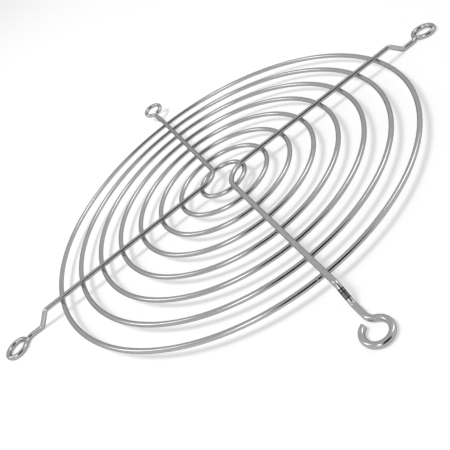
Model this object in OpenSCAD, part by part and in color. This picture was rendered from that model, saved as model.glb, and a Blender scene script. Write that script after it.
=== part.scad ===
// Wire guard for a square axial fan: concentric rings welded under two bent
// stays, whose four ends step down and curl into screw eyes.
// Millimetres, +Z up. The origin is the guard's centre, on the plane that the
// eyes rest on.

/* [Mounting] */
// Distance between the centres of neighbouring eyes
hole_pitch = 105; // [102:0.5:112]
// Clear hole inside each eye
eye_bore_d = 4.6; // [4:0.1:5.6]

/* [Rings] */
// Diameter of the ring wire
ring_wire_d = 1.3; // [1:0.05:1.8]
// Centre-line radius of the innermost ring
inner_ring_r = 7; // [6:0.25:9]
// Centre-line radius of the outermost ring
outer_ring_r = 56.5; // [52:0.25:57.5]

/* [Stays] */
// Diameter of the stay wire
stay_wire_d = 1.4; // [1:0.05:1.8]
// How far the stays step up from the eyes to the rings
rise = 3.6; // [2.8:0.1:5]
// Depth to which a ring is pressed against a stay at each weld
weld_sink = 0.12; // [0.05:0.01:0.25]
// Distance of each stay's corner from the centre, along X
corner_x = 1.1; // [0.6:0.1:2.5]
// Distance of each stay's corner from the centre, along Y
corner_y = 0.35; // [0:0.05:1]
// Centre-line bend radius at the west stay's corner
west_bend_r = 5.7; // [4:0.1:8]
// Centre-line bend radius at the east stay's corner
east_bend_r = 7.5; // [4:0.1:8]

/* [Steps] */
// Straight run from the outermost ring to the step's upper corner
step_lead = 5.2; // [3:0.1:6]
// Slope of the step
step_angle = 43; // [38:1:60]
// Centre-line bend radius at the step's two corners
step_bend_r = 1.6; // [1:0.1:2.5]

/* [Sprung arm] */
// Angle by which the north-west arm is bent up beyond the outermost ring
sprung_angle = 10.5; // [2:0.5:12]
// Centre-line radius of that bend
sprung_bend_r = 4; // [3:0.5:5]

/* [Eyes] */
// Centre-line radius of the bend from the stay into its eye
neck_bend_r = 2.5; // [1.5:0.1:3]
// Gap between the cut end and the neck at the three closed eyes
closed_gap = 0.4; // [0.35:0.05:0.8]
// Gap between the cut end and the neck at the south-east eye
open_gap = 1.3; // [0.8:0.1:2]

/* [Hidden] */
$fn = 48;

ring_count = 8;
ring_pitch = (outer_ring_r - inner_ring_r) / (ring_count - 1);

eye_r = (eye_bore_d + stay_wire_d) / 2;
eye_distance = hole_pitch / sqrt(2);
eye_z = stay_wire_d / 2;
stay_z = eye_z + rise;
ring_z = stay_z - (stay_wire_d + ring_wire_d) / 2 + weld_sink;

// The step, seen from the side: two bends with a straight slope between them.
step_corner = outer_ring_r + step_lead;
step_setback = step_bend_r * tan(step_angle / 2);
step_start = step_corner - step_setback;
step_end = step_corner + rise / tan(step_angle) + step_setback;
slope_length = rise / sin(step_angle) - 2 * step_setback;

// The sprung arm's bend lies half way from the outermost ring to the step.
sprung_at = (outer_ring_r + step_start) / 2;
sprung_setback = sprung_bend_r * tan(sprung_angle / 2);
sprung_start = sprung_at - sprung_setback;

// Where a corner lies along, and to the left of, the diagonal of an arm.
leading_along = (corner_x - corner_y) / sqrt(2);
leading_left = -(corner_x + corner_y) / sqrt(2);
trailing_along = (corner_x + corner_y) / sqrt(2);
trailing_left = (corner_x - corner_y) / sqrt(2);

// Straights and bends meet inside short sleeves that stand a hair proud, so
// that each stay is one solid wire.
seam_length = 0.1;
seam_proud = 0.005;

steel = "silver";

function ring_r(number) = inner_ring_r + (number - 1) * ring_pitch;

// Angle through which the neck turns left before the eye turns right.
function neck_turn(left) = acos((left + neck_bend_r) / (neck_bend_r + eye_r));

// Where the neck starts along the diagonal.
function neck_start(left) = eye_distance - (neck_bend_r + eye_r) * sin(neck_turn(left));

// Angle left open in an eye whose cut end stops at a gap from the neck.
function eye_opening(gap) =
    let (reach = neck_bend_r + stay_wire_d / 2 + gap,
         centres = neck_bend_r + eye_r)
    acos((eye_r * eye_r + centres * centres - reach * reach) / (2 * eye_r * centres));

// Straight wire along +X between two distances from the centre.
module wire_run(from, to) {
    translate([from, 0, 0])
        rotate([0, 90, 0])
            cylinder(d = stay_wire_d, h = to - from);
    seam(from);
    seam(to);
}

// Sleeve over the meeting of two stretches of wire that run along X.
module seam(at) {
    translate([at - seam_length / 2, 0, 0])
        rotate([0, 90, 0])
            cylinder(d = stay_wire_d + 2 * seam_proud, h = seam_length);
}

// Wire bent about Z, centred on the origin, from one angle through a turn.
module wire_bend(radius, from, turn) {
    rotate([0, 0, from])
        rotate_extrude(angle = turn)
            translate([radius, 0])
                circle(d = stay_wire_d);
}

// Upper straight of an arm, along +X: it carries the rings.
module arm_straight(left, from, to) {
    translate([0, left, stay_z])
        wire_run(from, to);
}

// Step from the rings' level down to the eye's, along +X.
module arm_step(left) {
    translate([step_start, left, stay_z])
        rotate([90, 0, 0]) {
            translate([0, -step_bend_r, 0])
                wire_bend(step_bend_r, 90 - step_angle, step_angle);
            translate([step_setback, 0, 0])
                rotate([0, 0, -step_angle])
                    wire_run(step_setback, step_setback + slope_length);
            translate([step_end - step_start, step_bend_r - rise, 0])
                wire_bend(step_bend_r, 270 - step_angle, step_angle);
        }
}

// Lower straight, neck and eye at the end of an arm, along +X.
module arm_eye(left, gap) {
    turn = neck_turn(left);
    start = neck_start(left);
    translate([0, left, eye_z])
        wire_run(step_end, start);
    translate([start, left + neck_bend_r, eye_z])
        wire_bend(neck_bend_r, 270, turn);
    translate([eye_distance, 0, eye_z]) {
        wire_bend(eye_r, turn + 90 + eye_opening(gap), 360 - eye_opening(gap));
        rotate([0, 0, turn])
            translate([0, eye_r, 0])
                seam(0);
    }
}

// End of an arm, along +X: the step and the eye.
module arm_end(left, gap) {
    arm_step(left);
    arm_eye(left, gap);
}

// End of an arm that has been bent up beyond the rings.
module sprung_end(left, gap) {
    translate([sprung_start, left, stay_z + sprung_bend_r])
        rotate([90, 0, 0])
            wire_bend(sprung_bend_r, 270, sprung_angle);
    translate([sprung_at, left, stay_z])
        rotate([0, -sprung_angle, 0])
            translate([-sprung_at, -left, -stay_z]) {
                arm_straight(left, sprung_at + sprung_setback, step_start);
                arm_end(left, gap);
            }
}

// Corner of a stay, open towards +X.
module stay_corner(bend_r) {
    translate([corner_x + bend_r * sqrt(2), -corner_y, stay_z])
        wire_bend(bend_r, 135, 90);
}

// The stretch of a stay that lies over the rings: a corner and two straights.
module stay_over_rings(bend_r, trailing_end) {
    stay_corner(bend_r);
    rotate([0, 0, 45])
        arm_straight(leading_left, leading_along + bend_r, step_start);
    rotate([0, 0, -45])
        arm_straight(trailing_left, trailing_along + bend_r, trailing_end);
}

module east_over_rings() {
    stay_over_rings(east_bend_r, step_start);
}

module west_over_rings() {
    rotate([0, 0, 180])
        stay_over_rings(west_bend_r, sprung_start);
}

// Each stay is bent from one wire.
module stay_east() {
    color(steel) {
        east_over_rings();
        rotate([0, 0, 45])
            arm_end(leading_left, closed_gap);
        rotate([0, 0, -45])
            arm_end(trailing_left, open_gap);
    }
}

module stay_west() {
    color(steel) {
        west_over_rings();
        rotate([0, 0, 225])
            arm_end(leading_left, closed_gap);
        rotate([0, 0, 135])
            sprung_end(trailing_left, closed_gap);
    }
}

// One ring, with the shallow seats that the stays press into it.
module ring(number) {
    color(steel)
        difference() {
            translate([0, 0, ring_z])
                rotate_extrude($fn = 180)
                    translate([ring_r(number), 0])
                        circle(d = ring_wire_d, $fn = 48);
            east_over_rings();
            west_over_rings();
        }
}

stay_west();
stay_east();
ring(1);  // ring_1
ring(2);  // ring_2
ring(3);  // ring_3
ring(4);  // ring_4
ring(5);  // ring_5
ring(6);  // ring_6
ring(7);  // ring_7
ring(8);  // ring_8
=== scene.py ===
# %% [markdown]
# # A wire fan guard
# The guard is ten drawn steel wires, resistance welded and then plated bright:
# eight rings, and two stays that lie over them and curl into screw eyes.
# The solid model comes first and stays as it is. This file gives it its
# plating, the small marks that welding leaves, a floor, a studio and a camera.

# %% Load the frame
import math

import bmesh
import bpy
from mathutils import Matrix, Vector


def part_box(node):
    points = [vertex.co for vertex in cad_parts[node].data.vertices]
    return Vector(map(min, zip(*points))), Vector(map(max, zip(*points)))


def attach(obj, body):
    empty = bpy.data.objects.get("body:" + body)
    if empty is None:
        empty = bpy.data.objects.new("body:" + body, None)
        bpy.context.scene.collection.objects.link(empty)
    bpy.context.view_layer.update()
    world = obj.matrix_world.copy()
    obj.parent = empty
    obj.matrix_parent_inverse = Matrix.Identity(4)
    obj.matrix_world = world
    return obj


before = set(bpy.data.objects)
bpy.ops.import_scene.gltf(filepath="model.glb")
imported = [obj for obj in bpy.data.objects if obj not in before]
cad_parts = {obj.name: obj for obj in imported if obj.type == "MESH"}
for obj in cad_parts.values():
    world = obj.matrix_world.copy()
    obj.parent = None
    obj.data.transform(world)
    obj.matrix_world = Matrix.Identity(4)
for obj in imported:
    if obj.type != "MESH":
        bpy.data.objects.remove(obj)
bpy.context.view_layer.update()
MM = 0.001
RINGS = [f"ring_{number}" for number in range(1, 9)]
STAYS = ["stay_west", "stay_east"]

# %% [markdown]
# ## Measure the wires
# A ring's box gives its wire and its radius: the wire is as thick as the box is
# high, and its centre line lies half a wire inside the box. The east stay is as
# high as its step plus one wire, and its eyes touch the floor. Reading sizes
# from the frame keeps every later piece in its place if the model changes.

# %% Measure the wires
STAY_WIRE = 1.4 * MM


def ring_measures(name):
    """Centre-line radius, wire diameter and centre height of a ring."""
    low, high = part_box(name)
    wire = high.z - low.z
    return (high.x - low.x - wire) / 2, wire, (high.z + low.z) / 2


ring_radii = [ring_measures(name)[0] for name in RINGS]
ring_wire, ring_height = ring_measures(RINGS[0])[1:]
stay_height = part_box("stay_east")[1].z - STAY_WIRE / 2
print("ring radii, mm:", [round(radius / MM, 2) for radius in ring_radii])
print("wire, ring height, stay height, mm:",
      [round(size / MM, 2) for size in (ring_wire, ring_height, stay_height)])

# %% [markdown]
# ## Find the welds
# Each stay is a rounded corner with two straight arms at 45 degrees to the
# sides of the guard. The nose of the corner is where the stay comes nearest to
# the middle, and its bend radius tells how far the arms' own meeting point lies
# inside the nose. An arm crosses a ring where its line meets the circle, and
# there is one weld at each of those 32 places.

# %% Find the welds
BEND_RADII = {"stay_west": 5.7 * MM, "stay_east": 7.5 * MM}
CORNER_Y = 0.35 * MM
SQUARE = math.sqrt(2)


def arm_lines(stay):
    """(corner, direction) for the two arms of a stay, seen from above."""
    low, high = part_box(stay)
    side = 1 if stay == "stay_east" else -1
    nose = low.x if side == 1 else -high.x
    corner_x = nose + STAY_WIRE / 2 - BEND_RADII[stay] * (SQUARE - 1)
    corner = Vector((side * corner_x, -side * CORNER_Y, 0))
    return [(corner, Vector((side, up, 0)).normalized()) for up in (1, -1)]


def crossing(corner, direction, radius):
    """Where an arm's line meets a circle about the middle."""
    along = corner.dot(direction)
    return corner + direction * (math.sqrt(along**2 - corner.length_squared + radius**2) - along)


arms = [line for stay in STAYS for line in arm_lines(stay)]
welds = {name: [(crossing(corner, way, radius), way) for corner, way in arms]
         for name, radius in zip(RINGS, ring_radii)}
print("welds:", sum(len(places) for places in welds.values()))

# %% [markdown]
# ## The camera
# The view is from the south-east corner, close above the table and rolled, so
# that the guard hangs across the picture. A direction from two angles, a roll
# about that direction and a small shift of the lens place it.

# %% The camera
VIEW_AZIMUTH, VIEW_ELEVATION, VIEW_ROLL = 39.75, 33.75, -35.34
VIEW_TARGET = Vector((10.0, -12.14, 0.0)) * MM
VIEW_DISTANCE = 155.4 * MM
LENS, LENS_SHIFT = 46.7, (-0.0462, -0.0311)


def direction(azimuth, elevation):
    """Unit vector towards a place in the studio; azimuth 0 is south, 90 east."""
    turn, lift = math.radians(azimuth), math.radians(elevation)
    return Vector((math.sin(turn) * math.cos(lift), -math.cos(turn) * math.cos(lift), math.sin(lift)))


def add_camera():
    """The camera that looks at the target from the view's direction."""
    data = bpy.data.cameras.new("camera")
    data.lens, data.sensor_width = LENS, 36
    data.shift_x, data.shift_y = LENS_SHIFT
    data.clip_start, data.clip_end = 0.01, 20
    camera = bpy.data.objects.new("camera", data)
    bpy.context.scene.collection.objects.link(camera)
    back = direction(VIEW_AZIMUTH, VIEW_ELEVATION)
    aim = (-back).to_track_quat("-Z", "Y").to_matrix() @ Matrix.Rotation(math.radians(VIEW_ROLL), 3, "Z")
    camera.matrix_world = Matrix.Translation(VIEW_TARGET + back * VIEW_DISTANCE) @ aim.to_4x4()
    bpy.context.scene.camera = camera
    return camera


camera = add_camera()
print("camera at, mm:", [round(c / MM, 1) for c in camera.location])

# %% [markdown]
# ## Shader maths as plain sums
# A finish is a tree of nodes. Here a socket is wrapped in a small class, so
# that `1 - mask` adds its own Math node, and every other node comes from one
# method that sets the node up first and then fills or links its sockets.

# %% Shader maths as plain sums
class Signal:
    """A socket in a node tree, on which sums can be written."""

    def __init__(self, tree, socket):
        self.tree, self.socket = tree, socket

    def maths(self, operation, *values):
        return self.tree.node("ShaderNodeMath", {"operation": operation}, dict(enumerate(values)))

    def __add__(self, other):
        return self.maths("ADD", self, other)

    def __sub__(self, other):
        return self.maths("SUBTRACT", self, other)

    def __rsub__(self, other):
        return self.maths("SUBTRACT", other, self)

    def __mul__(self, other):
        return self.maths("MULTIPLY", self, other)

    def __truediv__(self, other):
        return self.maths("DIVIDE", self, other)

    def __abs__(self):
        return self.maths("ABSOLUTE", self)

    __radd__ = __add__

    def step(self, low, high):
        """0 below low, 1 above high, and smooth between them."""
        return self.tree.node("ShaderNodeMapRange", {"interpolation_type": "SMOOTHSTEP"},
                              {"Value": self, "From Min": low, "From Max": high})


class Tree:
    """The nodes of a material or of the world, emptied and ready to fill."""

    def __init__(self, owner):
        owner.use_nodes = True
        self.nodes, self.links = owner.node_tree.nodes, owner.node_tree.links
        self.nodes.clear()

    def node(self, kind, settings=None, inputs=None, output=0):
        made = self.nodes.new(kind)
        for key, value in (settings or {}).items():
            setattr(made, key, value)
        for key, value in (inputs or {}).items():
            if isinstance(value, Signal):
                self.links.new(value.socket, made.inputs[key])
            else:
                made.inputs[key].default_value = value
        return Signal(self, made.outputs[output]) if made.outputs else None

    def parts(self, vector):
        """The X, Y and Z of a vector, as three signals."""
        split = self.node("ShaderNodeSeparateXYZ", inputs={0: vector})
        return [Signal(self, socket) for socket in split.socket.node.outputs]

    def vector(self, x, y, z):
        return self.node("ShaderNodeCombineXYZ", inputs={0: x, 1: y, 2: z})

    def noise(self, where, scale, detail=2.0, roughness=0.5):
        return self.node("ShaderNodeTexNoise", inputs={
            "Vector": where, "Scale": scale, "Detail": detail, "Roughness": roughness})

    def mix_colour(self, share, first, second):
        return self.node("ShaderNodeMix", {"data_type": "RGBA"}, {0: share, 6: first, 7: second}, output=2)


# %% [markdown]
# ## Bright plate over drawn wire
# Nickel and chromium copy the steel under them, so the die lines of the drawn
# wire still run along it. The grain has to be stretched along each wire: on a
# ring that is the angle round the middle, and on a stay it is the distance
# along its diagonal. Both can be worked out from the object's own coordinates,
# so no unwrapping is needed. Handling leaves the plate a little duller and
# warmer in patches and in its fine pits. The edge tint darkens the plate where
# it is seen at a shallow angle, which draws the outline of each wire.

# %% Bright plate over drawn wire
PLATE = (0.80, 0.80, 0.805, 1)
PLATE_WARM = (0.74, 0.72, 0.69, 1)
EDGE_TINT = (0.3, 0.3, 0.31, 1)
RING_DULLNESS, STAY_DULLNESS = 0.10, 0.16
GRAIN_RADIUS = 0.03
GRAIN_STRETCH = 0.04
DIE_LINE_SCALE, PATCH_SCALE, PIT_SCALE = 5200.0, 260.0, 2600.0


def ring_grain(tree):
    """Coordinates in metres that run round the rings and across their wire."""
    x, y, z = tree.parts(tree.node("ShaderNodeTexCoord", output=3))
    radius = tree.node("ShaderNodeVectorMath", {"operation": "LENGTH"}, {0: tree.vector(x, y, 0.0)}, output=1)
    angle = tree.node("ShaderNodeMath", {"operation": "ARCTAN2"}, {0: y, 1: x})
    return angle * GRAIN_RADIUS, radius, z


def stay_grain(tree):
    """Coordinates in metres that run along the four diagonal arms."""
    x, y, z = tree.parts(tree.node("ShaderNodeTexCoord", output=3))
    return (abs(x) + abs(y)) / SQUARE, (abs(x) - abs(y)) / SQUARE, z


def plated_wire(name, grain, dullness):
    """A finish of bright plate with die lines, dull patches and fine pits."""
    material = bpy.data.materials.new(name)
    tree = Tree(material)
    along, across, height = grain(tree)
    where = tree.node("ShaderNodeTexCoord", output=3)
    die_lines = tree.noise(tree.vector(along * GRAIN_STRETCH, across, height), DIE_LINE_SCALE, 3.0, 0.6)
    patches = tree.noise(where, PATCH_SCALE, 3.0, 0.55)
    pits = tree.noise(where, PIT_SCALE, 2.0, 0.6)
    pitted = pits.step(0.62, 0.74)
    colour = tree.mix_colour(patches.step(0.45, 0.75) * 0.5 + pitted * 0.3, PLATE, PLATE_WARM)
    roughness = dullness + patches.step(0.4, 0.8) * 0.10 + die_lines.step(0.4, 0.8) * 0.06 + pitted * 0.15
    lines = tree.node("ShaderNodeBump", inputs={"Strength": 0.25, "Distance": 0.02 * MM, "Height": die_lines})
    relief = tree.node("ShaderNodeBump", inputs={
        "Strength": 0.3, "Distance": 0.01 * MM, "Height": 1 - pitted, "Normal": lines})
    shader = tree.node("ShaderNodeBsdfPrincipled", inputs={
        "Base Color": colour, "Specular Tint": EDGE_TINT, "Metallic": 1.0,
        "Roughness": roughness, "Normal": relief})
    tree.node("ShaderNodeOutputMaterial", inputs={"Surface": shader})
    return material


ring_plate = plated_wire("ring_plate", ring_grain, RING_DULLNESS)
stay_plate = plated_wire("stay_plate", stay_grain, STAY_DULLNESS)


def dress(name, material):
    """Give a solid of the frame its finish."""
    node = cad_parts[name]
    node.data.materials.clear()
    node.data.materials.append(material)


for name in RINGS:
    dress(name, ring_plate)
for name in STAYS:
    dress(name, stay_plate)
print("finishes:", ring_plate.name, stay_plate.name)

# %% [markdown]
# ## Weld nuggets
# The electrodes squeeze ring and stay together while they are hot, and a little
# soft metal creeps out of the joint on all sides. It freezes as a low pillow
# between the two wires, wider than the seat that it fills. Each pillow is a
# sphere pressed flat and stretched towards the four open corners of its
# crossing. It is small and repeated 32 times, so it has few faces.

# %% Weld nuggets
NUGGET_LENGTH, NUGGET_WIDTH, NUGGET_THICKNESS = 1.25 * MM, 1.1 * MM, 0.52 * MM
NUGGET_TWIST, NUGGET_SPREAD = 0.25, 0.12
WELD_LUMP_SCALE = 1500.0
WELD_DARK, WELD_BRIGHT = (0.40, 0.39, 0.38, 1), (0.78, 0.78, 0.78, 1)
seat_height = (ring_height + ring_wire / 2 + stay_height - STAY_WIRE / 2) / 2


def finish_piece(name, shape, material):
    """Turn a bmesh into a smooth piece that rides with the guard."""
    bmesh.ops.recalc_face_normals(shape, faces=shape.faces)
    mesh = bpy.data.meshes.new(name)
    shape.to_mesh(mesh)
    shape.free()
    mesh.shade_smooth()
    mesh.materials.append(material)
    piece = bpy.data.objects.new(name, mesh)
    bpy.context.scene.collection.objects.link(piece)
    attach(piece, "root")
    return piece


def add_nugget(shape, place, way, number):
    """One pressed pillow, slightly different at each crossing."""
    turn = math.atan2(way.y, way.x) + NUGGET_TWIST * math.sin(7 * number)
    spread = 1 + NUGGET_SPREAD * math.sin(3 * number + 1)
    size = Matrix.Diagonal((NUGGET_LENGTH * spread, NUGGET_WIDTH, NUGGET_THICKNESS, 1))
    place = Vector((place.x, place.y, seat_height))
    bmesh.ops.create_icosphere(shape, subdivisions=3, radius=0.5,
                               matrix=Matrix.Translation(place) @ Matrix.Rotation(turn, 4, "Z") @ size)


def weld_finish():
    """Plate over metal that boiled a little: duller, darker and uneven."""
    material = bpy.data.materials.new("weld_plate")
    tree = Tree(material)
    where = tree.node("ShaderNodeTexCoord", output=3)
    lumps = tree.noise(where, WELD_LUMP_SCALE, 3.0, 0.6)
    colour = tree.mix_colour(lumps.step(0.35, 0.65), WELD_DARK, WELD_BRIGHT)
    relief = tree.node("ShaderNodeBump", inputs={"Strength": 0.5, "Distance": 0.06 * MM, "Height": lumps})
    shader = tree.node("ShaderNodeBsdfPrincipled", inputs={
        "Base Color": colour, "Metallic": 1.0, "Roughness": 0.22 + lumps * 0.2, "Normal": relief})
    tree.node("ShaderNodeOutputMaterial", inputs={"Surface": shader})
    return material


weld_plate = weld_finish()
for ring_number, name in enumerate(RINGS):
    shape = bmesh.new()
    for arm_number, (place, way) in enumerate(welds[name]):
        add_nugget(shape, place, way, 4 * ring_number + arm_number)
    finish_piece(f"welds_{name}", shape, weld_plate)
print("nuggets sit at, mm:", round(seat_height / MM, 2))

# %% [markdown]
# ## The butt weld of the outermost ring
# A ring is a length of wire whose ends are pressed together and welded. That
# leaves a low bead round the wire, and here it lies just beside a stay. A
# sphere stretched across the wire, with its middle a hair proud of it, gives
# the bead; the rest of the sphere is hidden inside the wire.

# %% The butt weld of the outermost ring
BEAD_TURN, BEAD_PROUD, BEAD_LENGTH = -2.0, 0.07 * MM, 0.8 * MM
SOUTH_EAST_ARM = 3


def add_bead(name, place, turn):
    """A bead round a ring's wire, a small turn away from one of its welds."""
    spot = Matrix.Rotation(math.radians(turn), 3, "Z") @ Vector((place.x, place.y, 0))
    heading = math.atan2(spot.y, spot.x)
    across = ring_wire / 2 + BEAD_PROUD
    place = Matrix.Translation((spot.x, spot.y, ring_height)) @ Matrix.Rotation(heading, 4, "Z")
    shape = bmesh.new()
    bmesh.ops.create_uvsphere(shape, u_segments=32, v_segments=16, radius=1.0,
                              matrix=place @ Matrix.Diagonal((across, BEAD_LENGTH / 2, across, 1)))
    return finish_piece(f"butt_weld_{name}", shape, weld_plate)


bead = add_bead(RINGS[-1], welds[RINGS[-1]][SOUTH_EAST_ARM][0], BEAD_TURN)
print(bead.name, "faces:", len(bead.data.polygons))

# %% [markdown]
# ## The batch marks
# The slope of the south-east arm is inked. The marks here are plain bars across
# the wire, with no letters. Each bar is a thin block that is spun about the
# wire's axis, so that it hugs a little more than the outer half of the wire.
# The step's sizes are those of the solid model, and the bars' widths are in
# millimetres.

# %% The batch marks
STEP_CORNER, STEP_RISE, STEP_ANGLE = 61.7 * MM, 3.6 * MM, math.radians(43)
BAR_WIDTHS = (0.34, 0.16, 0.42, 0.16, 0.28, 0.2, 0.36)
BAR_GAP, INK_DEPTH, INK_REACH = 0.09 * MM, 0.012 * MM, 200
INK_SCALE = 3200.0
INK_BLACK, INK_WORN = (0.02, 0.02, 0.022, 1), (0.45, 0.45, 0.46, 1)


def slope_frame(corner, way):
    """Axes at the middle of an arm's slope: along it, to its left and outwards."""
    middle = corner + way * (STEP_CORNER - corner.dot(way) + STEP_RISE / math.tan(STEP_ANGLE) / 2)
    middle.z = stay_height - STEP_RISE / 2
    along = way * math.cos(STEP_ANGLE) - Vector((0, 0, math.sin(STEP_ANGLE)))
    left = Vector((-way.y, way.x, 0))
    axes = Matrix((along, left, along.cross(left))).transposed()
    return Matrix.Translation(middle) @ axes.to_4x4()


def add_bar(shape, start, width):
    """A thin block above the wire, spun about the wire's axis."""
    low, high = STAY_WIRE / 2 - INK_DEPTH, STAY_WIRE / 2 + INK_DEPTH
    corners = [(start, low), (start + width, low), (start + width, high), (start, high)]
    block = shape.faces.new([shape.verts.new((along, 0, out)) for along, out in corners])
    geometry = [block, *block.edges, *block.verts]
    half_turn = Matrix.Rotation(math.radians(-INK_REACH / 2), 3, "X")
    bmesh.ops.rotate(shape, verts=block.verts, cent=(0, 0, 0), matrix=half_turn)
    bmesh.ops.spin(shape, geom=geometry, cent=(0, 0, 0), axis=(1, 0, 0),
                   angle=math.radians(INK_REACH), steps=20, use_duplicate=False)


def ink_finish():
    """Black ink that has worn thin in places, so that the plate shows through."""
    material = bpy.data.materials.new("worn_ink")
    tree = Tree(material)
    where = tree.node("ShaderNodeTexCoord", output=3)
    worn = tree.noise(where, INK_SCALE, 3.0, 0.6).step(0.6, 0.72)
    colour = tree.mix_colour(worn, INK_BLACK, INK_WORN)
    shader = tree.node("ShaderNodeBsdfPrincipled", inputs={
        "Base Color": colour, "Metallic": worn * 0.9, "Roughness": 0.55 - worn * 0.25})
    tree.node("ShaderNodeOutputMaterial", inputs={"Surface": shader})
    return material


marks = bmesh.new()
total = sum(BAR_WIDTHS) * MM + BAR_GAP * (len(BAR_WIDTHS) - 1)
start = -total / 2
for width in BAR_WIDTHS:
    add_bar(marks, start, width * MM)
    start += width * MM + BAR_GAP
marks.transform(slope_frame(*arms[SOUTH_EAST_ARM]))
batch_marks = finish_piece("batch_marks", marks, ink_finish())
print("batch marks, mm long:", round(total / MM, 2))

# %% [markdown]
# ## The floor
# The guard lies on a white table. The floor is half lit and half glowing, so
# that it reads as white and still holds the soft shadows of the wires. Only the
# camera sees the full glow: the wires reflect a greyer table, or their lower
# sides would vanish against it.

# %% The floor
FLOOR_REACH = 3.0
FLOOR_COLOUR = (0.9, 0.9, 0.9, 1)
WHITE = (1, 1, 1, 1)
GLOW_SHARE, GLOW_REFLECTED = 0.5, 0.1


def add_floor():
    """A wide white table that glows for the camera and far less for reflections."""
    shape = bmesh.new()
    bmesh.ops.create_grid(shape, x_segments=1, y_segments=1, size=FLOOR_REACH)
    mesh = bpy.data.meshes.new("floor")
    shape.to_mesh(mesh)
    shape.free()
    floor = bpy.data.objects.new("floor", mesh)
    bpy.context.scene.collection.objects.link(floor)
    material = bpy.data.materials.new("white_table")
    tree = Tree(material)
    lit = tree.node("ShaderNodeBsdfDiffuse", inputs={"Color": FLOOR_COLOUR})
    seen = tree.node("ShaderNodeLightPath")
    strength = GLOW_REFLECTED + seen * (1 - GLOW_REFLECTED)
    glow = tree.node("ShaderNodeEmission", inputs={"Color": WHITE, "Strength": strength})
    surface = tree.node("ShaderNodeMixShader", inputs={0: GLOW_SHARE, 1: lit, 2: glow})
    tree.node("ShaderNodeOutputMaterial", inputs={"Surface": surface})
    mesh.materials.append(material)
    return floor


floor = add_floor()
print("floor, m:", [round(side, 1) for side in floor.dimensions])

# %% [markdown]
# ## The studio
# Bright plate shows nothing but its surroundings, so the room decides how the
# wires look. It is mid grey, with three windows and one dark corner behind the
# camera. A round wire squeezes all of that into thin lines: white where a
# window falls on it, and near black where the dark corner does. Each patch is
# given by its left and right, its bottom and top (degrees) and its brightness.
# The camera sees plain white behind the table, and the lamp is there for the
# shadows.

# %% The studio
ROOM_LOW, ROOM_HIGH = 0.50, 0.42
WINDOW, DARK = 2.0, 0.015
BAND_EDGE = 4
PATCHES = [(-82, -62, 28, 58, WINDOW), (-6, 14, 28, 58, WINDOW),
           (24, 84, 6, 66, DARK), (126, 150, 28, 58, WINDOW)]
KEY_AZIMUTH, KEY_ELEVATION, KEY_DISTANCE, KEY_SIZE, KEY_WATTS = -60, 66, 0.9, 0.30, 6.0


def band(angle, low, high):
    """1 between two angles in degrees, falling softly to 0 outside them."""
    low, high, edge = (math.radians(value) for value in (low, high, BAND_EDGE))
    return angle.step(low - edge, low + edge) * (1 - angle.step(high - edge, high + edge))


def add_studio():
    """The room that the plate reflects; the camera sees white instead."""
    world = bpy.data.worlds.new("studio")
    bpy.context.scene.world = world
    tree = Tree(world)
    x, y, z = tree.parts(tree.node("ShaderNodeTexCoord", output=0))
    azimuth = tree.node("ShaderNodeMath", {"operation": "ARCTAN2"}, {0: x, 1: 0 - y})
    elevation = tree.node("ShaderNodeMath", {"operation": "ARCSINE"}, {0: z})
    brightness = ROOM_LOW + z.step(0.0, 0.9) * (ROOM_HIGH - ROOM_LOW)
    for left, right, bottom, top, level in PATCHES:
        here = band(azimuth, left, right) * band(elevation, bottom, top)
        brightness = brightness + here * (level - brightness)
    seen = tree.node("ShaderNodeLightPath")
    shown = brightness + seen * (1 - brightness)
    backdrop = tree.node("ShaderNodeBackground", inputs={"Color": WHITE, "Strength": shown})
    tree.node("ShaderNodeOutputWorld", inputs={"Surface": backdrop})
    return world


def add_lamp(name, azimuth, elevation, distance, size, watts):
    """A soft square lamp over the guard that casts the shadows; the plate does not show it."""
    data = bpy.data.lights.new(name, "AREA")
    data.shape, data.size, data.energy = "SQUARE", size, watts
    lamp = bpy.data.objects.new(name, data)
    bpy.context.scene.collection.objects.link(lamp)
    towards = direction(azimuth, elevation)
    lamp.location = towards * distance
    lamp.rotation_euler = towards.to_track_quat("Z", "Y").to_euler()
    lamp.visible_glossy = False
    return lamp


add_studio()
key = add_lamp("key", KEY_AZIMUTH, KEY_ELEVATION, KEY_DISTANCE, KEY_SIZE, KEY_WATTS)
bpy.context.scene.view_settings.view_transform = "Standard"
print("key lamp, W:", key.data.energy)
